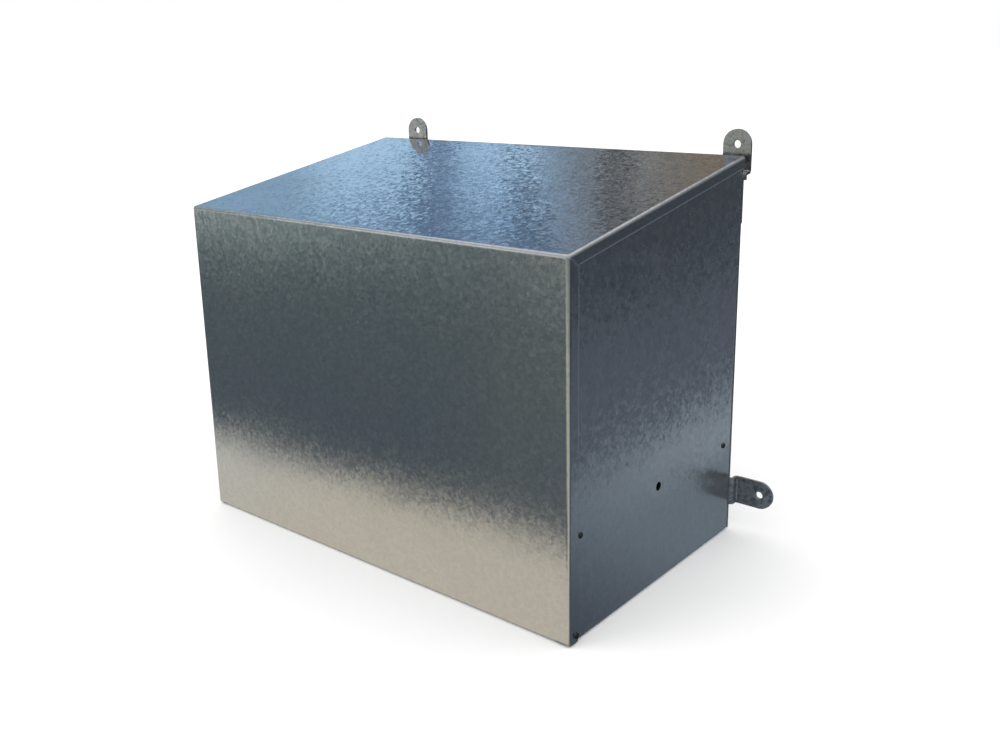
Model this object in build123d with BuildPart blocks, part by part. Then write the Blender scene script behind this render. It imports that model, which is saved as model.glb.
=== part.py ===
from build123d import *
import math
import os

os.makedirs("parts", exist_ok=True)

# Wall-mounted weather housing of folded galvanised sheet: a flip-up cover (front and roof in one sheet)
# over a body of two side panels, a back panel and an equipment tray, hung on a wall by four cranked lugs.
# Origin: centre of the footprint, on the base plane. +X to the right, +Y towards the wall, +Z up.

# Overall sizes
width = 500.0                # over the cover
depth = 300.0                # cover's front face to back panel's outer face
front_height = 350.0         # top of the front face
back_height = 400.0          # top of the roof's rear edge

# Sheet
sheet = 1.2
bend = 3.0                   # outer radius of every fold
relief = 4.0                 # corner notch where two flanges meet

# Cover
cover_gap = 0.3              # clearance between cover and body
cover_lift = 1.0             # cover's lower edge above the base plane
roof_lip = 12.0              # lip turned down over the side panels
front_return = 14.0          # front sheet's turned-in edges
mitre_gap = 0.4              # seam where lip and return meet

# Side panels
side_flange = 12.0
rear_flange = 30.0

# Hinge behind the roof's rear edge
hinge_length = 360.0
knuckle_count = 18
knuckle_play = 0.3           # gap between neighbouring knuckles
leaf = 1.2
leaf_margin = 6.0            # from the rivets' line to a leaf's free edge
pin_diameter = 3.9
pin_play = 0.05              # radial running clearance

# Equipment tray
tray_inset = 8.0             # tray's ends behind the front face and before the back face
tray_flange = 18.0
fixing_height = 101.0        # centre line of the row of side fixings
fixing_inset = 19.0          # end fixings from the front and back faces
earth_hole = 9.0             # open hole in the middle of the row
slot_length = 20.0
slot_width = 7.0
slot_spacing_x = 300.0
slot_spacing_y = 180.0
grommet_hole = 22.0
grommet_bore = 14.0
grommet_rim = 28.0
grommet_height = 9.0
grommet_round = 2.25
grommet_spacing = 120.0
grommet_from_rear = 40.0     # grommets' centres before the tray's rear end

# Wall lugs
lug_width = 30.0
lug_foot_width = 24.0
lug_thickness = 3.0
lug_offset = 9.0             # plate behind foot
lug_bend = 1.5               # inner radius of the crank's two folds
lug_reach = 41.0             # crank's outer face to tip
lug_foot = 54.0              # crank's outer face to the foot's end
lug_neck = 8.0               # crank's outer face to where the foot narrows
lug_foot_corner = 4.0
lug_hole = 8.0
lug_hole_to_tip = 15.0
lug_bolt_first = 20.0        # crank's outer face to the first foot bolt
lug_bolt_pitch = 24.0
lug_bolt_count = 2
top_lug_x = (-200.0, 236.0)  # the upright lugs, left and right
top_lug_rise = 25.0          # tip above the roof's rear edge
bottom_lug_gap = 2.0         # the lying lugs' cranks beyond the cover's sides
bottom_lug_height = 42.5     # centre line of the lying lugs

# Rounding and chamfers of the fasteners, as shares of their sizes
dome_share = 0.8             # rounding of a domed head, of its height
socket_share = 0.6           # depth of a hexagon socket, of the head's height
end_chamfer_share = 0.125    # chamfer of a pin's or thread's end, of its diameter

# M3 button-head screws: the tray's and the cover's
screw_diameter = 2.9
screw_hole = 3.6
screw_head = 5.7
screw_head_height = 1.65
screw_length = 8.0
screw_socket = 2.0
screw_nut_flats = 5.5
screw_nut_height = 2.4
cover_screw_inset = 11.0     # behind the front face
cover_screw_height = 8.0

# M6 bolts: the lugs'
bolt_diameter = 5.9
bolt_hole = 6.4
bolt_flats = 10.0
bolt_head_height = 4.0
bolt_length = 16.0
bolt_nut_height = 5.0
washer_diameter = 12.0
washer_thickness = 1.6
nut_play = 0.05              # radial gap between thread and nut

# Blind rivets
rivet_diameter = 4.0
rivet_head = 8.0
rivet_head_height = 1.2
rivet_tail = 5.6
rivet_tail_height = 3.0
rivet_tail_round = 0.75
mandrel_hole = 2.0
seam_rivet_heights = (15.0, 110.0, 205.0, 300.0)
seam_rivet_from_side = 10.0
hinge_rivet_spacing = 80.0
hinge_rivet_count = 5
hinge_rivet_drop = 7.0       # below the back panel's top edge

# Places worked out from the sizes above
overrun = 5.0                # how far cutting tools run past what they cut
front_y = -(depth + lug_offset + lug_thickness) / 2
back_y = front_y + depth
slope = math.degrees(math.atan2(back_height - front_height, depth))
rise = math.tan(math.radians(slope))
tilt = math.cos(math.radians(slope))
side_x = width / 2 - sheet - cover_gap
inner_x = side_x - sheet
body_inset = sheet + cover_gap
knuckle_radius = pin_diameter / 2 + pin_play + leaf
hinge_y = back_y + knuckle_radius
hinge_z = back_height + knuckle_radius * rise - (sheet + knuckle_radius) / tilt
back_panel_height = hinge_z - knuckle_radius - cover_gap - side_flange * rise
channel_half = inner_x - rear_flange
tray_floor = fixing_height - tray_flange / 2
tray_depth = depth - 2 * tray_inset
tray_y = front_y + depth / 2
fixing_y = (front_y + fixing_inset, back_y - fixing_inset)
cover_screw_y = front_y + cover_screw_inset
seam_rivet_x = side_x - seam_rivet_from_side
hinge_rivet_z = back_panel_height - hinge_rivet_drop
leaf_width = hinge_z - hinge_rivet_z + leaf_margin
top_lug_bend = back_height + top_lug_rise - lug_reach
bottom_lug_bend = width / 2 + bottom_lug_gap
lug_bolts_back = [lug_bolt_first + i * lug_bolt_pitch for i in range(lug_bolt_count)]
bolt_spots = [(x, top_lug_bend - back) for x in top_lug_x for back in lug_bolts_back]
bolt_spots += [
    (hand * (bottom_lug_bend - back), bottom_lug_height) for hand in (-1, 1) for back in lug_bolts_back
]
seam_rivet_spots = [(hand * seam_rivet_x, z) for hand in (-1, 1) for z in seam_rivet_heights]
hinge_rivet_first = -hinge_rivet_spacing * (hinge_rivet_count - 1) / 2
hinge_rivet_x = [hinge_rivet_first + i * hinge_rivet_spacing for i in range(hinge_rivet_count)]
hinge_rivet_spots = [(x, hinge_rivet_z) for x in hinge_rivet_x]


def roof_z(y, inset):
    """Height of the roof line, or of a line parallel to it that far inside."""
    return front_height + (y - front_y) * rise - inset / tilt


def save(node, name):
    node.label = name
    export_step(node, f"parts/{name}.step")


def hood_block(inset, bottom, rear):
    """The cover's outer form, or with an inset the space inside it."""
    front = front_y + inset
    with BuildPart() as block:
        with BuildSketch(Plane.YZ.offset(inset - width / 2)):
            Polygon(
                (front, bottom),
                (rear, bottom),
                (rear, roof_z(rear, inset)),
                (front, roof_z(front, inset)),
                align=None,
            )
        extrude(amount=width - 2 * inset)
        roof_folds = block.faces().sort_by(Axis.Z)[-1].edges().sort_by(Axis.Y)[:-1]
        front_folds = block.faces().sort_by(Axis.Y)[0].edges().sort_by(Axis.Z)[:-1]
        fillet(roof_folds + front_folds, radius=bend - inset)
    return block.part


def side_block(inset, flange):
    """The right side panel's outer form, or with an inset the space inside it."""
    front = front_y + body_inset + inset
    rear = back_y - sheet - inset
    with BuildPart() as block:
        with BuildSketch(Plane.YZ.offset(side_x - inset)):
            Polygon(
                (front, inset),
                (rear, inset),
                (rear, roof_z(rear, body_inset + inset)),
                (front, roof_z(front, body_inset + inset)),
                align=None,
            )
        extrude(amount=inset - flange)
        fillet(block.edges().filter_by(Axis.X), radius=bend - inset)
        fillet(block.faces().sort_by(Axis.X)[-1].edges(), radius=bend - inset)
    return block.part


def drill_back():
    """Cuts every hole that passes through the rear sheets, in the part being built."""
    with BuildSketch(Plane.XZ.offset(-back_y - overrun)) as holes:
        with Locations(*bolt_spots):
            Circle(bolt_hole / 2)
        with Locations(*seam_rivet_spots, *hinge_rivet_spots):
            Circle(rivet_diameter / 2)
    extrude(holes.sketch, amount=2 * overrun, mode=Mode.SUBTRACT)


def drill_sides():
    """Cuts every hole that passes through the side walls, in the part being built."""
    with BuildSketch(Plane.YZ) as holes:
        with Locations(*[(y, fixing_height) for y in fixing_y]):
            Circle(screw_hole / 2)
        with Locations((tray_y, fixing_height)):
            Circle(earth_hole / 2)
        with Locations((cover_screw_y, cover_screw_height)):
            Circle(screw_hole / 2)
    extrude(holes.sketch, amount=width, both=True, mode=Mode.SUBTRACT)


# Cover: front and roof in one sheet, with lips over the side panels and the front's edges turned in
with BuildPart() as cover:
    add(hood_block(0, cover_lift, back_y))
    add(hood_block(sheet, cover_lift + sheet, back_y + overrun), mode=Mode.SUBTRACT)
    with BuildSketch(Plane.YZ):
        inner_front = front_y + front_return
        rear = back_y + overrun
        Polygon(
            (inner_front, cover_lift - overrun),
            (rear, cover_lift - overrun),
            (rear, roof_z(rear, roof_lip)),
            (inner_front, roof_z(inner_front, roof_lip)),
            align=None,
        )
    extrude(amount=width, both=True, mode=Mode.SUBTRACT)
    # the front's lower return stops short of the side panels' flanges
    hem_end = side_x - side_flange - sheet
    hem_start = side_x + cover_gap
    with Locations((0, front_y + sheet, cover_lift - overrun)):
        with GridLocations(hem_start + hem_end, 0, 2, 1):
            Box(
                hem_start - hem_end,
                front_return,
                overrun + bend,
                align=(Align.CENTER, Align.MIN, Align.MIN),
                mode=Mode.SUBTRACT,
            )
    # mitre between lip and return
    for face_x in (-width / 2 - overrun, width / 2 - bend):
        with BuildSketch(Plane.YZ.offset(face_x)):
            with Locations(Location((front_y, front_height), (slope - 90) / 2)):
                Rectangle(2 * front_return, mitre_gap, align=(Align.MIN, Align.CENTER))
        extrude(amount=bend + overrun, mode=Mode.SUBTRACT)
    # open slots for the cover screws, along the way that the cover swings past them
    arm_y = hinge_y - cover_screw_y
    arm_z = hinge_z - cover_screw_height
    swing = math.degrees(math.atan2(-arm_y, arm_z))
    with BuildSketch(Plane.YZ):
        with Locations(Location((cover_screw_y, cover_screw_height), swing)):
            Circle(screw_hole / 2)
            Rectangle(front_return, screw_hole, align=(Align.MIN, Align.CENTER))
    extrude(amount=width, both=True, mode=Mode.SUBTRACT)
save(cover.part, "cover")

# Side panels: shallow pans, open inwards, with a wider flange at the rear
with BuildPart() as side_shell:
    add(side_block(0, rear_flange))
    add(side_block(sheet, rear_flange + overrun), mode=Mode.SUBTRACT)
    with Locations((side_x - side_flange, front_y, -overrun)):
        Box(
            rear_flange,
            depth - 2 * sheet,
            back_height + 2 * overrun,
            align=(Align.MAX, Align.MIN, Align.MIN),
            mode=Mode.SUBTRACT,
        )
    pan_front = front_y + body_inset
    pan_rear = back_y - sheet
    corners = [
        (pan_front, 0),
        (pan_rear, 0),
        (pan_rear, roof_z(pan_rear, body_inset)),
        (pan_front, roof_z(pan_front, body_inset)),
    ]
    with BuildSketch(Plane.YZ.offset(side_x - bend)):
        with Locations(*corners):
            Rectangle(2 * relief, 2 * relief)
    extrude(amount=-rear_flange, mode=Mode.SUBTRACT)

with BuildPart() as right_side_panel:
    add(side_shell.part)
    drill_back()
    drill_sides()
save(right_side_panel.part, "right_side_panel")

with BuildPart() as left_side_panel:
    mirror(side_shell.part, about=Plane.YZ)
    drill_back()
    drill_sides()
save(left_side_panel.part, "left_side_panel")

# Back panel: a plate over the side panels' rear flanges, folded forward at top and bottom between them
with BuildPart() as back_panel:
    with Locations((0, back_y, 0)):
        Box(2 * side_x, sheet, back_panel_height, align=(Align.CENTER, Align.MAX, Align.MIN))
    with BuildSketch(Plane.YZ.offset(-channel_half)):
        with Locations((back_y, 0)):
            Rectangle(side_flange, back_panel_height, align=(Align.MAX, Align.MIN))
    extrude(amount=2 * channel_half)
    channel = back_panel.part.edges().filter_by(Axis.X).group_by(Axis.Y)[-1]
    fillet(channel, radius=bend)
    with Locations((0, back_y - sheet, sheet)):
        Box(
            4 * side_x,
            side_flange,
            back_panel_height - 2 * sheet,
            align=(Align.CENTER, Align.MAX, Align.MIN),
            mode=Mode.SUBTRACT,
        )
    drill_back()
save(back_panel.part, "back_panel")

# Equipment tray: a pan with upturned flanges, screwed between the side panels
with BuildPart() as equipment_tray:
    with BuildSketch(Plane.XY.offset(tray_floor)):
        with Locations((0, tray_y)):
            Rectangle(2 * inner_x, tray_depth)
    extrude(amount=tray_flange)
    fillet(equipment_tray.faces().sort_by(Axis.Z)[0].edges(), radius=bend)
    with BuildSketch(Plane.XY.offset(tray_floor + sheet)):
        with Locations((0, tray_y)):
            Rectangle(2 * inner_x - 2 * sheet, tray_depth - 2 * sheet)
    extrude(amount=tray_flange, mode=Mode.SUBTRACT)
    with BuildSketch(Plane.XY.offset(tray_floor + bend)):
        with Locations((0, tray_y)):
            with GridLocations(2 * inner_x, tray_depth, 2, 2):
                Rectangle(2 * relief, 2 * relief)
    extrude(amount=tray_flange, mode=Mode.SUBTRACT)
    grommet_y = tray_y + tray_depth / 2 - grommet_from_rear
    with BuildSketch(Plane.XY.offset(tray_floor - overrun)):
        with Locations((0, tray_y)):
            with GridLocations(slot_spacing_x, slot_spacing_y, 2, 2):
                SlotOverall(slot_length, slot_width)
        with Locations((0, grommet_y)):
            with GridLocations(grommet_spacing, 0, 2, 1):
                Circle(grommet_hole / 2)
    extrude(amount=2 * overrun, mode=Mode.SUBTRACT)
    drill_sides()
save(equipment_tray.part, "equipment_tray")

# Grommets
with BuildPart() as cable_grommets:
    grommet_mid = tray_floor + sheet / 2
    with Locations((0, grommet_y, grommet_mid)):
        with GridLocations(grommet_spacing, 0, 2, 1):
            Cylinder(grommet_rim / 2, grommet_height)
    fillet(cable_grommets.edges(), radius=grommet_round)
    with Locations((0, grommet_y, grommet_mid)):
        with GridLocations(grommet_spacing, 0, 2, 1):
            Cylinder(grommet_bore / 2, grommet_height, mode=Mode.SUBTRACT)
    with BuildSketch(Plane.XY.offset(tray_floor)):
        with Locations((0, grommet_y)):
            with GridLocations(grommet_spacing, 0, 2, 1):
                Circle(grommet_rim)
                Circle(grommet_hole / 2, mode=Mode.SUBTRACT)
    extrude(amount=sheet, mode=Mode.SUBTRACT)
save(cable_grommets.part, "cable_grommets")


def hinge_leaf(frame, first):
    """A leaf and every second knuckle from first on. The leaf lies along the frame's -x, on its +y side."""
    pitch = hinge_length / knuckle_count
    neck = knuckle_radius + cover_gap
    with BuildPart() as part:
        with BuildSketch(frame.offset(-hinge_length / 2)):
            with Locations((-neck, knuckle_radius)):
                Rectangle(leaf_width - neck, leaf, align=(Align.MAX, Align.MAX))
        extrude(amount=hinge_length)
        for index in range(first, knuckle_count, 2):
            start = index * pitch - hinge_length / 2 + knuckle_play / 2
            with BuildSketch(frame.offset(start)):
                Circle(knuckle_radius)
                with Locations((0, knuckle_radius)):
                    Rectangle(leaf_width - leaf, leaf, align=(Align.MAX, Align.MAX))
                Circle(pin_diameter / 2 + pin_play, mode=Mode.SUBTRACT)
            extrude(amount=pitch - knuckle_play)
    return part.part


# Hinge: one leaf riveted to the back panel, one welded under the roof, and the pin
hinge_point = (0, hinge_y, hinge_z)
upright = Plane(origin=hinge_point, x_dir=(0, 0, 1), z_dir=(1, 0, 0))
along_roof = Plane(origin=hinge_point, x_dir=(0, tilt, tilt * rise), z_dir=(1, 0, 0))

with BuildPart() as hinge_leaf_body:
    add(hinge_leaf(upright, 0))
    drill_back()
save(hinge_leaf_body.part, "hinge_leaf_body")

with BuildPart() as hinge_leaf_cover:
    add(hinge_leaf(along_roof, 1))
save(hinge_leaf_cover.part, "hinge_leaf_cover")

with BuildPart() as hinge_pin:
    with BuildSketch(Plane.YZ.offset(-hinge_length / 2)):
        with Locations((hinge_y, hinge_z)):
            Circle(pin_diameter / 2)
    extrude(amount=hinge_length)
    chamfer(hinge_pin.edges(), length=pin_diameter * end_chamfer_share)
save(hinge_pin.part, "hinge_pin")


def rivets(spots, outer_y, inner_y):
    """Set blind rivets along Y: domed head outside, tail inside, mandrel hole through."""
    with BuildPart() as group:
        with BuildSketch(Plane.XZ.offset(-outer_y)):
            with Locations(*spots):
                Circle(rivet_head / 2)
        extrude(amount=-rivet_head_height)
        fillet(group.edges().group_by(Axis.Y)[-1], radius=rivet_head_height * dome_share)
        with BuildSketch(Plane.XZ.offset(-outer_y)):
            with Locations(*spots):
                Circle(rivet_diameter / 2)
        extrude(amount=outer_y - inner_y + rivet_tail_height)
        with BuildSketch(Plane.XZ.offset(-inner_y)):
            with Locations(*spots):
                Circle(rivet_tail / 2)
        extrude(amount=rivet_tail_height)
        fillet(group.edges().group_by(Axis.Y)[0], radius=rivet_tail_round)
        with BuildSketch(Plane.XZ.offset(-outer_y - overrun)):
            with Locations(*spots):
                Circle(mandrel_hole / 2)
        extrude(amount=overrun + outer_y - inner_y, mode=Mode.SUBTRACT)
    return group.part


save(rivets(seam_rivet_spots, back_y, back_y - 2 * sheet), "seam_rivets")
save(rivets(hinge_rivet_spots, back_y + leaf, back_y - sheet), "hinge_rivets")


def wall_lug(frame):
    """A cranked strap with a round end. The frame's origin is on the back face in the crank's outer plane,
    its x runs towards the tip and its z towards the wall."""
    plate_back = lug_offset + lug_thickness
    outer_bend = lug_bend + lug_thickness
    folds = {
        (0, 0): outer_bend,
        (-lug_thickness, lug_thickness): lug_bend,
        (0, lug_offset): lug_bend,
        (-lug_thickness, plate_back): outer_bend,
    }
    with BuildPart() as lug:
        edge_on = Plane(origin=frame.origin, x_dir=frame.x_dir, z_dir=-frame.y_dir)
        with BuildSketch(edge_on) as profile:
            Polygon(
                (-lug_foot, 0),
                (0, 0),
                (0, lug_offset),
                (lug_reach, lug_offset),
                (lug_reach, plate_back),
                (-lug_thickness, plate_back),
                (-lug_thickness, lug_thickness),
                (-lug_foot, lug_thickness),
                align=None,
            )
            for corner, radius in folds.items():
                fillet(profile.vertices().sort_by_distance(corner)[0], radius=radius)
        extrude(amount=lug_width / 2, both=True)
        straight = lug_neck + lug_reach - lug_width / 2
        with BuildSketch(frame.offset(-overrun)):
            with Locations((-lug_foot, 0)):
                RectangleRounded(
                    lug_foot, lug_foot_width, lug_foot_corner, align=(Align.MIN, Align.CENTER)
                )
            with Locations((-lug_neck, 0)):
                Rectangle(straight, lug_width, align=(Align.MIN, Align.CENTER))
            with Locations((lug_reach - lug_width / 2, 0)):
                Circle(lug_width / 2)
            with Locations((lug_reach - lug_hole_to_tip, 0)):
                Circle(lug_hole / 2, mode=Mode.SUBTRACT)
            with Locations(*[(-back, 0) for back in lug_bolts_back]):
                Circle(bolt_hole / 2, mode=Mode.SUBTRACT)
        extrude(amount=plate_back + 2 * overrun, mode=Mode.INTERSECT)
    return lug.part


lug_places = {
    "wall_lug_top_left": ((top_lug_x[0], back_y, top_lug_bend), (0, 0, 1)),
    "wall_lug_top_right": ((top_lug_x[1], back_y, top_lug_bend), (0, 0, 1)),
    "wall_lug_bottom_left": ((-bottom_lug_bend, back_y, bottom_lug_height), (-1, 0, 0)),
    "wall_lug_bottom_right": ((bottom_lug_bend, back_y, bottom_lug_height), (1, 0, 0)),
}
for name, (origin, towards_tip) in lug_places.items():
    save(wall_lug(Plane(origin, x_dir=towards_tip, z_dir=(0, 1, 0))), name)

# Lug bolts: heads on the lugs' feet, washers and nuts inside
bolt_seats = [back_y - sheet * (2 if abs(x) > channel_half else 1) for x, z in bolt_spots]

with BuildPart() as lug_bolts:
    with BuildSketch(Plane.XZ.offset(-back_y - lug_thickness)):
        with Locations(*bolt_spots):
            RegularPolygon(bolt_flats / 2, 6, major_radius=False)
    extrude(amount=-bolt_head_height)
    with BuildSketch(Plane.XZ.offset(-back_y - lug_thickness)):
        with Locations(*bolt_spots):
            Circle(bolt_diameter / 2)
    extrude(amount=bolt_length)
    chamfer(lug_bolts.edges().group_by(Axis.Y)[0], length=bolt_diameter * end_chamfer_share)
save(lug_bolts.part, "lug_bolts")

with BuildPart() as lug_washers:
    for spot, seat in zip(bolt_spots, bolt_seats):
        with BuildSketch(Plane.XZ.offset(-seat)):
            with Locations(spot):
                Circle(washer_diameter / 2)
                Circle(bolt_hole / 2, mode=Mode.SUBTRACT)
        extrude(amount=washer_thickness)
save(lug_washers.part, "lug_washers")

with BuildPart() as lug_nuts:
    for spot, seat in zip(bolt_spots, bolt_seats):
        with BuildSketch(Plane.XZ.offset(-seat + washer_thickness)):
            with Locations(spot):
                RegularPolygon(bolt_flats / 2, 6, major_radius=False)
                Circle(bolt_diameter / 2 + nut_play, mode=Mode.SUBTRACT)
        extrude(amount=bolt_nut_height)
save(lug_nuts.part, "lug_nuts")


def side_screws(spots, seat):
    """Button-head screws driven in towards -X, their heads' undersides at x = seat."""
    with BuildPart() as screws:
        with BuildSketch(Plane.YZ.offset(seat)):
            with Locations(*spots):
                Circle(screw_head / 2)
        extrude(amount=screw_head_height)
        fillet(screws.edges().group_by(Axis.X)[-1], radius=screw_head_height * dome_share)
        with BuildSketch(Plane.YZ.offset(seat)):
            with Locations(*spots):
                Circle(screw_diameter / 2)
        extrude(amount=-screw_length)
        with BuildSketch(Plane.YZ.offset(seat + screw_head_height)):
            with Locations(*spots):
                RegularPolygon(screw_socket / 2, 6, major_radius=False)
        extrude(amount=-screw_head_height * socket_share, mode=Mode.SUBTRACT)
    return screws.part


def side_nuts(spots, seat):
    """Weld nuts for those screws, on the wall whose inner face is at x = seat."""
    with BuildPart() as nuts:
        with BuildSketch(Plane.YZ.offset(seat)):
            with Locations(*spots):
                RegularPolygon(screw_nut_flats / 2, 6, major_radius=False)
                Circle(screw_diameter / 2 + nut_play, mode=Mode.SUBTRACT)
        extrude(amount=-screw_nut_height)
    return nuts.part


def on_both_sides(right):
    """The right-hand pieces with their mirror images."""
    with BuildPart() as pair:
        add(right)
        mirror(right, about=Plane.YZ)
    return pair.part


tray_screw_spots = [(y, fixing_height) for y in fixing_y]
cover_screw_spots = [(cover_screw_y, cover_screw_height)]
save(on_both_sides(side_screws(tray_screw_spots, side_x)), "tray_screws")
save(on_both_sides(side_nuts(tray_screw_spots, inner_x - sheet)), "tray_nuts")
save(on_both_sides(side_nuts(cover_screw_spots, inner_x)), "cover_nuts")

cover_screw_seat = width / 2 + cover_gap
save(side_screws(cover_screw_spots, cover_screw_seat), "cover_screw_right")
with BuildPart() as cover_screw_left:
    mirror(side_screws(cover_screw_spots, cover_screw_seat), about=Plane.YZ)
save(cover_screw_left.part, "cover_screw_left")
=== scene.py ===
import math

import bpy
from mathutils import Matrix, Vector

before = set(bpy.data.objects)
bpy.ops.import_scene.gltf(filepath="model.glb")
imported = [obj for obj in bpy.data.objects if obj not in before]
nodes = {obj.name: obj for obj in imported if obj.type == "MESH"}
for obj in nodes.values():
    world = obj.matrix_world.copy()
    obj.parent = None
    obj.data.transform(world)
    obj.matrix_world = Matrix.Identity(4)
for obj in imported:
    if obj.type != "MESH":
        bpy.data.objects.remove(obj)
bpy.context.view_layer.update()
scene = bpy.context.scene

# ---------------------------------------------------------------- camera
CAMERA_PLACE = Vector((0.71909, -0.82441, 0.51357))
CAMERA_AZIMUTH = math.radians(-41.118)
CAMERA_DOWN = math.radians(15.046)
CAMERA_ROLL = math.radians(1.519)
FOCAL_PIXELS = 1048.92
IMAGE_WIDTH = 1000.0
SENSOR_WIDTH = 36.0
SHIFT = (0.0382, -0.0492)


def make_camera():
    data = bpy.data.cameras.new("camera")
    data.sensor_width = SENSOR_WIDTH
    data.lens = FOCAL_PIXELS * SENSOR_WIDTH / IMAGE_WIDTH
    data.shift_x, data.shift_y = SHIFT
    data.clip_start, data.clip_end = 0.01, 100.0
    camera = bpy.data.objects.new("camera", data)
    forward = Vector(
        (
            math.sin(CAMERA_AZIMUTH) * math.cos(CAMERA_DOWN),
            math.cos(CAMERA_AZIMUTH) * math.cos(CAMERA_DOWN),
            -math.sin(CAMERA_DOWN),
        )
    )
    right = forward.cross(Vector((0, 0, 1))).normalized()
    down = forward.cross(right)
    c, s = math.cos(CAMERA_ROLL), math.sin(CAMERA_ROLL)
    x_axis = right * c + down * s
    y_axis = right * s - down * c
    turn = Matrix((x_axis, y_axis, -forward)).transposed().to_4x4()
    camera.matrix_world = Matrix.Translation(CAMERA_PLACE) @ turn
    scene.collection.objects.link(camera)
    scene.camera = camera


make_camera()


# ---------------------------------------------------------------- node helpers
class Tree:
    """The node tree of a material or of the world, with short calls for the nodes used here."""

    def __init__(self, owner, output):
        self.owner = owner
        owner.use_nodes = True
        self.tree = owner.node_tree
        self.tree.nodes.clear()
        self.output = self.tree.nodes.new(output)

    def node(self, kind, inputs=(), **attributes):
        made = self.tree.nodes.new(kind)
        for key, value in attributes.items():
            setattr(made, key, value)
        for key, value in dict(inputs).items():
            self.put(made.inputs[key], value)
        return made

    def put(self, socket, value):
        if isinstance(value, bpy.types.NodeSocket):
            self.tree.links.new(value, socket)
        else:
            socket.default_value = value

    def place(self, scale=(1, 1, 1)):
        coordinates = self.node("ShaderNodeTexCoord").outputs["Object"]
        mapping = self.node("ShaderNodeMapping", {"Vector": coordinates})
        mapping.inputs["Scale"].default_value = scale
        return mapping.outputs["Vector"]

    def noise(self, vector, scale, detail=3.0, roughness=0.5, distortion=0.0):
        made = self.node("ShaderNodeTexNoise", {"Vector": vector, "Scale": scale})
        made.inputs["Detail"].default_value = detail
        made.inputs["Roughness"].default_value = roughness
        made.inputs["Distortion"].default_value = distortion
        return made.outputs["Fac"]

    def cells(self, vector, scale):
        """A random colour for each cell."""
        return self.node("ShaderNodeTexVoronoi", {"Vector": vector, "Scale": scale}).outputs["Color"]

    def math(self, operation, a, b=0.0, c=0.0, clamp=False):
        made = self.node("ShaderNodeMath", operation=operation, use_clamp=clamp)
        self.put(made.inputs[0], a)
        self.put(made.inputs[1], b)
        self.put(made.inputs[2], c)
        return made.outputs[0]

    def ramp(self, value, low, high, start=0.0, end=1.0):
        """start at low, end at high, and a smooth step between them."""
        made = self.node("ShaderNodeMapRange", {"Value": value}, interpolation_type="SMOOTHSTEP")
        made.inputs["From Min"].default_value = low
        made.inputs["From Max"].default_value = high
        made.inputs["To Min"].default_value = start
        made.inputs["To Max"].default_value = end
        return made.outputs["Result"]

    def mix(self, share, a, b, blend="MIX"):
        made = self.node("ShaderNodeMix", data_type="RGBA", blend_type=blend)
        # the mix node has a set of sockets for each kind of value; these are the colours' own
        self.put(made.inputs[0], share)
        self.put(made.inputs[6], a)
        self.put(made.inputs[7], b)
        return made.outputs[2]

    def vector(self, operation, a, b=None, scale=None):
        made = self.node("ShaderNodeVectorMath", operation=operation)
        self.put(made.inputs[0], a)
        if b is not None:
            self.put(made.inputs[1], b)
        if scale is not None:
            self.put(made.inputs["Scale"], scale)
        return made.outputs["Value"] if operation == "DOT_PRODUCT" else made.outputs[0]

    def bump(self, height, distance, strength=1.0, normal=None):
        made = self.node("ShaderNodeBump", {"Height": height})
        made.inputs["Distance"].default_value = distance
        made.inputs["Strength"].default_value = strength
        if normal is not None:
            self.put(made.inputs["Normal"], normal)
        return made.outputs["Normal"]

    def tilted(self, colour, amount, fold=0.0):
        """The surface normal, leaning a little a different way in each cell, and rounded over folds."""
        lean = self.vector("SUBTRACT", colour, (0.5, 0.5, 0.5))
        lean = self.vector("SCALE", lean, scale=amount)
        if fold > 0.0:
            normal = self.node("ShaderNodeBevel", {"Radius": fold}, samples=6).outputs["Normal"]
        else:
            normal = self.node("ShaderNodeNewGeometry").outputs["Normal"]
        return self.vector("NORMALIZE", self.vector("ADD", normal, lean))

    def edges(self, radius):
        """1 along sharp edges, 0 elsewhere."""
        bevel = self.node("ShaderNodeBevel", {"Radius": radius}, samples=4)
        normal = self.node("ShaderNodeNewGeometry").outputs["Normal"]
        dot = self.vector("DOT_PRODUCT", bevel.outputs["Normal"], normal)
        return self.ramp(dot, 0.995, 0.80)

    def principled(self, **values):
        shader = self.node("ShaderNodeBsdfPrincipled")
        for key, value in values.items():
            self.put(shader.inputs[key.replace("_", " ")], value)
        self.show(shader)
        return self.owner

    def show(self, shader):
        self.tree.links.new(shader.outputs[0], self.output.inputs["Surface"])


def material_tree(name):
    return Tree(bpy.data.materials.new(name), "ShaderNodeOutputMaterial")


def grey(value, warm=0.0):
    return (value * (1 + warm), value, value * (1 - warm), 1.0)


# ---------------------------------------------------------------- materials
# how far from a sharp edge the colour is lightened as a painted highlight, in metres
SHEET_EDGE_HIGHLIGHT = 0.0012
CAST_EDGE_HIGHLIGHT = 0.0008
DRAWN_EDGE_HIGHLIGHT = 0.0006

SMALL_CRYSTALS = 2.3         # as many in a metre as large ones, times this
SMALL_SHARE = 0.4            # of the small crystals in the lean
ALONG_STRETCH = 12           # noise scale along drawn lines
ACROSS_STRETCH = 900         # and across them


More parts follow.
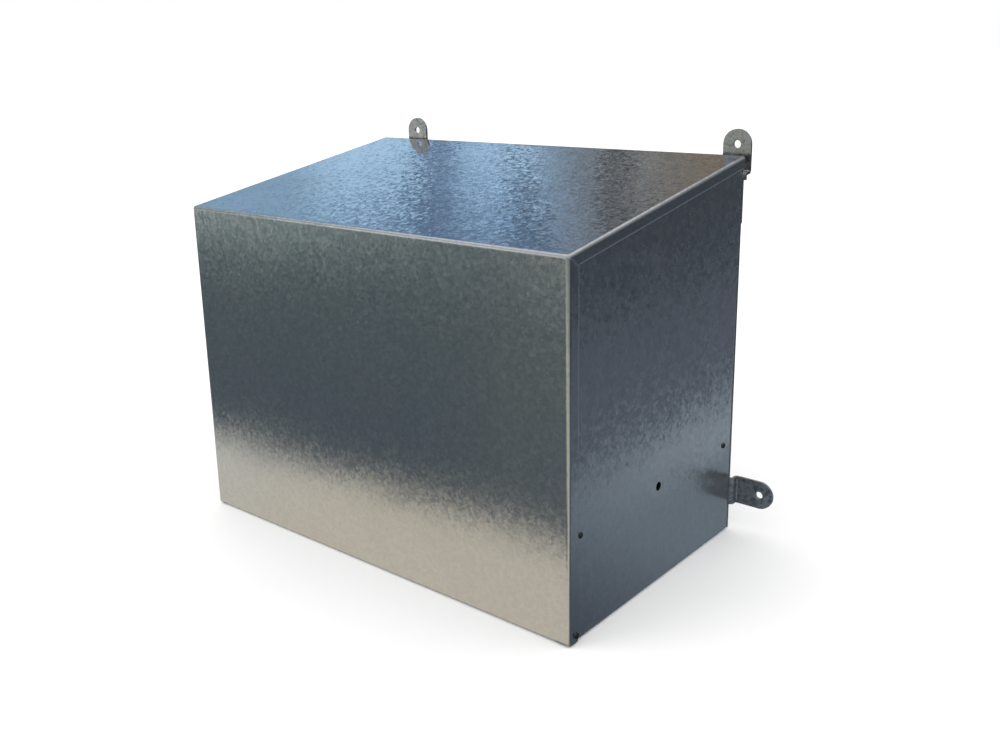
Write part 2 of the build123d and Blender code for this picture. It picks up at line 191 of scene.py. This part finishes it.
def galvanised(name, base, cell, tilt, wave, rough, top=None, fold=0.0):
    """Hot-dip galvanised sheet. Crystals of a few millimetres lean their own way, over a faint orange
    peel, and the zinc has a cloudy bloom, a few run marks and fine grain, with a painted highlight along
    sharp edges. top gives the lean and the two roughnesses of faces that look upwards, which are cleaner.
    fold is the radius over which sharp edges are shaded as round."""
    t = material_tree(name)
    plain = t.place()
    drift = t.node("ShaderNodeTexNoise", {"Vector": plain, "Scale": 0.8 / cell, "Detail": 2.0})
    drift = t.vector("SUBTRACT", drift.outputs["Color"], (0.5, 0.5, 0.5))
    bent = t.vector("ADD", plain, t.vector("SCALE", drift, scale=cell * 1.1))
    large = t.cells(bent, 1.0 / cell)
    small = t.cells(bent, SMALL_CRYSTALS / cell)
    crystals = t.mix(SMALL_SHARE, large, small)
    parts = t.node("ShaderNodeSeparateColor", {"Color": crystals})
    bloom = t.noise(plain, 9.0, 5.0, 0.6, 0.4)
    run = t.noise(t.place(scale=(26, 26, 4)), 1.0, 4.0, 0.6)
    fine = t.noise(plain, 900.0, 3.0, 0.7)
    colour = t.mix(t.ramp(parts.outputs[0], 0.2, 0.8), grey(base * 0.96, -0.005), grey(base * 1.04, 0.005))
    colour = t.mix(t.ramp(bloom, 0.42, 0.72, 0.0, 0.4), colour, grey(base * 0.93, 0.01))
    colour = t.mix(t.ramp(run, 0.60, 0.82, 0.0, 0.3), colour, grey(base * 0.84, 0.015))
    colour = t.mix(t.ramp(fine, 0.35, 0.30, 0.0, 0.2), colour, grey(base * 0.6))
    # painted highlight: the colour is lightened along sharp edges
    edge = t.edges(SHEET_EDGE_HIGHLIGHT)
    colour = t.mix(t.math("MULTIPLY", edge, 0.5), colour, grey(0.80, 0.01))
    roughness = t.ramp(parts.outputs[1], 0.15, 0.85, rough[0], rough[1])
    lean = tilt
    if top is not None:
        own_normal = t.node("ShaderNodeTexCoord").outputs["Normal"]
        facing = t.node("ShaderNodeSeparateXYZ", {"Vector": own_normal})
        upward = t.ramp(facing.outputs[2], 0.6, 0.9)
        lean = t.math("ADD", tilt, t.math("MULTIPLY", upward, top[0] - tilt))
        clean = t.ramp(parts.outputs[1], 0.15, 0.85, top[1], top[2])
        change = t.math("MULTIPLY", upward, t.math("SUBTRACT", clean, roughness))
        roughness = t.math("ADD", roughness, change)
    roughness = t.math("ADD", roughness, t.ramp(bloom, 0.45, 0.75, 0.0, 0.04))
    roughness = t.math("ADD", roughness, t.ramp(fine, 0.3, 0.7, -0.02, 0.02), clamp=True)
    normal = t.tilted(crystals, lean, fold)
    normal = t.bump(t.noise(plain, 0.55 / cell, 2.0, 0.5), 0.001, wave, normal)
    normal = t.bump(t.noise(plain, 6.0, 2.0), 0.004, 0.10, normal)
    return t.principled(Base_Color=colour, Metallic=1.0, Roughness=roughness, Normal=normal)


def cast_zinc(name, base, rough, grain, patch=0.5):
    """Dull dipped or plated steel: cloudy patches, a fine grain and a painted highlight along sharp edges.
    """
    t = material_tree(name)
    plain = t.place()
    cloud = t.noise(plain, 60.0, 5.0, 0.65, 0.6)
    cells = t.cells(plain, grain)
    speck = t.node("ShaderNodeSeparateColor", {"Color": cells}).outputs[0]
    fine = t.noise(plain, 1500.0, 3.0, 0.6)
    colour = t.mix(t.ramp(cloud, 0.35, 0.7), grey(base * (1 - patch * 0.6), 0.03), grey(base))
    colour = t.mix(t.ramp(speck, 0.1, 0.9, 0.0, 0.5), colour, grey(min(1.0, base * 1.35), -0.01))
    colour = t.mix(t.ramp(speck, 0.30, 0.08, 0.0, 0.6), colour, grey(base * 0.45, 0.03))
    # painted highlight: the colour is lightened along sharp edges
    edge = t.edges(CAST_EDGE_HIGHLIGHT)
    colour = t.mix(t.math("MULTIPLY", edge, 0.6), colour, grey(0.82))
    roughness = t.ramp(cloud, 0.3, 0.7, rough[0], rough[1])
    roughness = t.math("SUBTRACT", roughness, t.math("MULTIPLY", edge, 0.1), clamp=True)
    normal = t.tilted(cells, 0.06)
    normal = t.bump(cloud, 0.0004, 0.25, normal)
    normal = t.bump(fine, 0.00003, 0.5, normal)
    return t.principled(Base_Color=colour, Metallic=1.0, Roughness=roughness, Normal=normal)


def drawn_metal(name, base, warm, rough, along, lines=1.0):
    """Plated or drawn metal with fine lines along one direction."""
    t = material_tree(name)
    scale = [ALONG_STRETCH if direction == along else ACROSS_STRETCH for direction in "xyz"]
    line = t.noise(t.place(scale=scale), 1.0, 3.0, 0.6)
    plain = t.place()
    cloud = t.noise(plain, 90.0, 4.0, 0.6, 0.3)
    colour = t.mix(t.ramp(line, 0.3, 0.7), grey(base * 0.82, warm), grey(base, warm * 0.5))
    colour = t.mix(t.ramp(cloud, 0.5, 0.75, 0.0, 0.5), colour, grey(base * 0.6, warm))
    # painted highlight: the colour is lightened along sharp edges
    edge = t.edges(DRAWN_EDGE_HIGHLIGHT)
    colour = t.mix(t.math("MULTIPLY", edge, 0.5), colour, grey(0.86))
    roughness = t.ramp(cloud, 0.3, 0.7, rough[0], rough[1])
    normal = t.bump(line, 0.00005, 0.5 * lines)
    normal = t.bump(cloud, 0.0002, 0.2, normal)
    return t.principled(Base_Color=colour, Metallic=1.0, Roughness=roughness, Normal=normal)


def rubber(name):
    """Black rubber with a little pale dust and a painted highlight along sharp edges."""
    t = material_tree(name)
    plain = t.place()
    dust = t.noise(plain, 120.0, 5.0, 0.7)
    grain = t.noise(plain, 1400.0, 2.0, 0.6)
    colour = t.mix(t.ramp(dust, 0.45, 0.75), (0.010, 0.010, 0.011, 1), (0.045, 0.043, 0.040, 1))
    # painted highlight: the colour is lightened along sharp edges
    colour = t.mix(t.math("MULTIPLY", t.edges(CAST_EDGE_HIGHLIGHT), 0.4), colour, (0.07, 0.07, 0.07, 1))
    roughness = t.ramp(dust, 0.3, 0.7, 0.45, 0.72)
    normal = t.bump(grain, 0.00005, 0.5)
    return t.principled(Base_Color=colour, Roughness=roughness, Normal=normal)


sheet_side = galvanised("sheet_side", 0.56, 0.0045, 0.080, 0.09, (0.17, 0.25))
sheet_cover = galvanised(
    "sheet_cover", 0.56, 0.0036, 0.058, 0.06, (0.13, 0.21), top=(0.075, 0.06, 0.11), fold=0.0024
)
sheet_tray = galvanised("sheet_tray", 0.56, 0.0050, 0.07, 0.08, (0.20, 0.28))
lug_steel = cast_zinc("lug_steel", 0.48, (0.26, 0.38), 420.0)
hinge_steel = drawn_metal("hinge_steel", 0.52, 0.01, (0.28, 0.42), "x")
rivet_aluminium = drawn_metal("rivet_aluminium", 0.68, 0.0, (0.25, 0.40), "y", 0.5)
zinc_fastener = cast_zinc("zinc_fastener", 0.58, (0.25, 0.38), 1100.0, 0.35)
dark_fastener = cast_zinc("dark_fastener", 0.055, (0.32, 0.50), 1100.0, 0.3)
black_rubber = rubber("black_rubber")

FINISHES = {
    "cover": sheet_cover,
    "right_side_panel": sheet_side,
    "left_side_panel": sheet_side,
    "back_panel": sheet_side,
    "equipment_tray": sheet_tray,
    "cable_grommets": black_rubber,
    "hinge_leaf_body": hinge_steel,
    "hinge_leaf_cover": hinge_steel,
    "hinge_pin": hinge_steel,
    "seam_rivets": rivet_aluminium,
    "hinge_rivets": rivet_aluminium,
    "wall_lug_top_left": lug_steel,
    "wall_lug_top_right": lug_steel,
    "wall_lug_bottom_left": lug_steel,
    "wall_lug_bottom_right": lug_steel,
    "lug_bolts": zinc_fastener,
    "lug_washers": zinc_fastener,
    "lug_nuts": zinc_fastener,
    "tray_screws": dark_fastener,
    "tray_nuts": zinc_fastener,
    "cover_nuts": zinc_fastener,
    "cover_screw_right": dark_fastener,
    "cover_screw_left": dark_fastener,
}
for node_name, material in FINISHES.items():
    for slot in nodes[node_name].material_slots:
        slot.material = material


# ---------------------------------------------------------------- stage
FLOOR_HALF = 30.0
FLOOR_DROP = 0.0006          # below the housing's lower edges
MIRRORED_HALF = 12.0
MIRRORED_DROP = 0.003
BOX_SIDE_X = 0.25            # the cover's right face
BOX_FRONT_Y = -0.156         # its front face

# what the metal mirrors of the ground, as linear colours
GROUND = {
    "blue, far": (0.106, 0.140, 0.155, 1),
    "blue, near": (0.098, 0.128, 0.152, 1),
    "left, far": (0.27, 0.35, 0.35, 1),
    "left, near": (0.145, 0.190, 0.205, 1),
    "grey verge": (0.23, 0.235, 0.23, 1),
    "pale, near": (0.60, 0.64, 0.51, 1),
    "pale, far": (0.27, 0.31, 0.32, 1),
    "bright end": (0.95, 0.98, 0.93, 1),
    "strip, left": (0.76, 0.76, 0.70, 1),
    "strip, right": (0.78, 0.725, 0.61, 1),
    "beside, front": (0.090, 0.112, 0.145, 1),
    "beside, rear": (0.20, 0.25, 0.30, 1),
    "right": (0.115, 0.140, 0.178, 1),
    "right, far": (0.060, 0.074, 0.092, 1),
    "glow": (0.42, 0.49, 0.56, 1),
    "behind, left": (0.24, 0.26, 0.27, 1),
    "behind, right": (0.15, 0.17, 0.19, 1),
}

# and of the sky
SKY = {
    "gap, low": (0.56, 0.84, 1.13, 1),
    "gap": (0.26, 0.43, 0.64, 1),
    "gap, high": (0.17, 0.26, 0.40, 1),
    "gap, left": (0.24, 0.39, 0.56, 1),
    "band": (0.11, 0.175, 0.30, 1),
    "wall, left": (0.20, 0.22, 0.24, 1),
    "wall, right": (0.25, 0.215, 0.175, 1),
    "far right": (0.33, 0.36, 0.40, 1),
    "far left": (0.40, 0.47, 0.55, 1),
    "low": (0.16, 0.18, 0.19, 1),
    "haze": (0.98, 1.02, 0.97, 1),
    "overhead": (0.86, 0.90, 0.95, 1),
}
WHITE = (1, 1, 1, 1)
BACKDROP_STRENGTH = 1.0
SOFT_STRENGTH = 1.28


def square(name, half, drop, material):
    corners = [(-half, -half, 0), (half, -half, 0), (half, half, 0), (-half, half, 0)]
    mesh = bpy.data.meshes.new(name)
    mesh.from_pydata(corners, [], [list(range(len(corners)))])
    mesh.materials.append(material)
    obj = bpy.data.objects.new(name, mesh)
    scene.collection.objects.link(obj)
    obj.location.z = -drop
    return obj


def glossy_only(obj):
    obj.visible_camera = False
    obj.visible_diffuse = False
    obj.visible_shadow = False
    obj.visible_transmission = False
    obj.visible_volume_scatter = False


def make_floor():
    t = material_tree("floor")
    tone = t.noise(t.place(), 3.0, 3.0)
    colour = t.mix(t.ramp(tone, 0.3, 0.7), (0.93, 0.93, 0.925, 1), (0.95, 0.95, 0.945, 1))
    material = t.principled(Base_Color=colour, Roughness=0.9)
    # clear from below, so that the underside can be looked at
    top = t.output.inputs["Surface"].links[0].from_socket
    clear = t.node("ShaderNodeBsdfTransparent").outputs[0]
    below = t.node("ShaderNodeNewGeometry").outputs["Backfacing"]
    t.show(t.node("ShaderNodeMixShader", {0: below, 1: top, 2: clear}))
    floor = square("floor", FLOOR_HALF, FLOOR_DROP, material)
    floor.visible_glossy = False


def ground_in_front(t, x, y):
    """From the far left to straight ahead: dark ground, and a pale strip along the housing."""
    blue = t.mix(t.ramp(y, -0.75, -0.40), GROUND["blue, far"], GROUND["blue, near"])
    left = t.mix(t.ramp(x, -1.75, -1.10), GROUND["left, far"], GROUND["left, near"])
    front = t.mix(t.ramp(y, -1.50, -0.95), left, blue)
    # distance across a slanting line, beyond which the ground is paler
    across = t.math("SUBTRACT", t.math("SUBTRACT", x, t.math("MULTIPLY", y, 0.79)), 0.4175)
    front = t.mix(t.ramp(across, -0.30, 0.05, 0.0, 0.25), front, GROUND["grey verge"])
    pale = t.mix(t.ramp(across, 0.5, 1.7), GROUND["pale, near"], GROUND["pale, far"])
    front = t.mix(t.ramp(across, 0.12, 0.34), front, pale)
    front = t.mix(t.ramp(x, -2.3, -3.4), front, GROUND["bright end"])
    wobble = t.ramp(t.noise(t.place(), 14.0, 3.0), 0.3, 0.7, -0.008, 0.008)
    edge = t.math("ADD", t.math("ADD", y, wobble), t.ramp(x, -0.40, 0.20, 0.285, 0.308))
    strip = t.mix(t.ramp(x, -0.45, -0.10), GROUND["strip, left"], GROUND["strip, right"])
    return t.mix(t.ramp(edge, -0.068, 0.040), front, strip)


def ground_to_the_right(t, x, y):
    """Dark, and darker further out, with a soft glow beside the housing."""
    near = t.mix(t.ramp(y, -0.15, 0.12), GROUND["beside, front"], GROUND["beside, rear"])
    far = t.mix(t.ramp(x, 0.40, 0.50), near, GROUND["right"])
    far = t.mix(t.ramp(x, 0.75, 1.05), far, GROUND["right, far"])
    glow = t.math("MULTIPLY", t.ramp(x, 0.33, 0.42), t.ramp(x, 0.49, 0.39))
    glow = t.math("MULTIPLY", glow, t.ramp(y, 0.0, 0.40))
    return t.mix(glow, far, GROUND["glow"])


def make_mirrored_ground():
    """Ground seen only in the metal: one look in front of the housing, one to its right, one behind it."""
    t = material_tree("mirrored_ground")
    place = t.node("ShaderNodeSeparateXYZ", {"Vector": t.place()})
    x, y = place.outputs[0], place.outputs[1]
    front = ground_in_front(t, x, y)
    right = ground_to_the_right(t, x, y)
    behind = t.mix(t.ramp(x, -0.4, 0.25), GROUND["behind, left"], GROUND["behind, right"])
    beside = t.ramp(x, BOX_SIDE_X - 0.003, BOX_SIDE_X + 0.006)
    rear = t.mix(beside, behind, right)
    # the front's part ends on a line that runs out from the housing's corner
    ahead = t.math("SUBTRACT", 1.0, t.ramp(y, BOX_FRONT_Y - 0.002, BOX_FRONT_Y + 0.006))
    before = t.math("MULTIPLY", t.math("ADD", y, -BOX_FRONT_Y), 4.0)
    corner = t.math("ADD", t.math("SUBTRACT", x, BOX_SIDE_X), before)
    ahead = t.math("MULTIPLY", ahead, t.ramp(corner, 0.05, -0.05))
    colour = t.mix(ahead, rear, front)
    t.show(t.node("ShaderNodeEmission", {"Color": colour, "Strength": 1.0}))
    glossy_only(square("mirrored_ground", MIRRORED_HALF, MIRRORED_DROP, t.owner))


def sky_gap(t, turn, height):
    """The bright gap: blue, paler low down, with a dark slanting band across it. Angles in degrees."""
    gap = t.mix(t.ramp(height, 18.5, 22.5), SKY["gap, low"], SKY["gap"])
    gap = t.mix(t.ramp(height, 22.0, 26.0), gap, SKY["gap, high"])
    gap = t.mix(t.ramp(turn, -50.5, -54.0, 0.0, 0.7), gap, SKY["gap, left"])
    slant = t.math("MULTIPLY", t.math("SUBTRACT", height, 20.0), 0.45)
    band = t.math("ABSOLUTE", t.math("ADD", t.math("ADD", turn, slant), 45.4))
    return t.mix(t.ramp(band, 1.9, 0.3, 0.0, 0.9), gap, SKY["band"])


def mirrored_sky(t, direction):
    """turn is the angle from +Y towards +X and height the angle above the horizon, both in degrees."""
    x, y, z = t.node("ShaderNodeSeparateXYZ", {"Vector": direction}).outputs
    turn = t.math("MULTIPLY", t.math("ARCTAN2", x, y), 180 / math.pi)
    height = t.math("MULTIPLY", t.math("ARCSINE", z), 180 / math.pi)
    wall = t.mix(t.ramp(turn, -36.0, -29.0), SKY["wall, left"], SKY["wall, right"])
    back = t.mix(t.ramp(turn, -35.5, -42.0), wall, sky_gap(t, turn, height))
    leaves = t.ramp(t.noise(direction, 48.0, 3.0, 0.65), 0.38, 0.62, 0.12, 1.9)
    shade = t.node("ShaderNodeCombineColor", {"Red": leaves, "Green": leaves, "Blue": leaves})
    leafy = t.mix(1.0, back, shade.outputs[0], "MULTIPLY")
    back = t.mix(t.ramp(turn, -48.0, -40.0), back, leafy)
    back = t.mix(t.ramp(turn, -20.0, 10.0), back, SKY["far right"])
    back = t.mix(t.ramp(turn, -64.0, -76.0), back, SKY["far left"])
    back = t.mix(t.ramp(height, 17.0, 12.0), back, SKY["low"])
    haze = t.ramp(t.math("ABSOLUTE", t.math("ADD", turn, 139.0)), 13.0, 7.0)
    haze = t.math("MULTIPLY", haze, t.ramp(height, 26.0, 12.0))
    back = t.mix(haze, back, SKY["haze"])
    return t.mix(t.ramp(height, 33.0, 46.0), back, SKY["overhead"])


def make_world():
    """White for the camera and for soft light, and a sky for the metal to mirror, brightest behind on the
    left."""
    t = Tree(bpy.data.worlds.new("studio"), "ShaderNodeOutputWorld")
    scene.world = t.owner
    sky = mirrored_sky(t, t.node("ShaderNodeTexCoord").outputs["Generated"])

    def background(colour, strength):
        return t.node("ShaderNodeBackground", {"Color": colour, "Strength": strength}).outputs[0]

    mirrored = background(sky, 1.0)
    backdrop = background(WHITE, BACKDROP_STRENGTH)
    soft = background(WHITE, SOFT_STRENGTH)
    path = t.node("ShaderNodeLightPath").outputs
    plain = t.node("ShaderNodeMixShader", {0: path["Is Camera Ray"], 1: soft, 2: backdrop})
    t.show(t.node("ShaderNodeMixShader", {0: path["Is Glossy Ray"], 1: plain.outputs[0], 2: mirrored}))


def area_light(name, place, target, size, power, colour):
    data = bpy.data.lights.new(name, "AREA")
    data.shape = "RECTANGLE"
    data.size, data.size_y = size
    data.energy = power
    data.color = colour
    light = bpy.data.objects.new(name, data)
    light.location = place
    light.rotation_mode = "QUATERNION"
    light.rotation_quaternion = (Vector(target) - Vector(place)).to_track_quat("-Z", "Y")
    scene.collection.objects.link(light)
    return light


make_floor()
make_mirrored_ground()
make_world()
key = area_light(
    "key", place=(-1.2, -2.0, 2.4), target=(0, 0, 0.2), size=(1.6, 1.6), power=20.0, colour=(1.0, 0.98, 0.95)
)
key.visible_glossy = False

scene.view_settings.view_transform = "Standard"
scene.view_settings.look = "None"
scene.view_settings.exposure = 0.0
scene.view_settings.gamma = 1.0
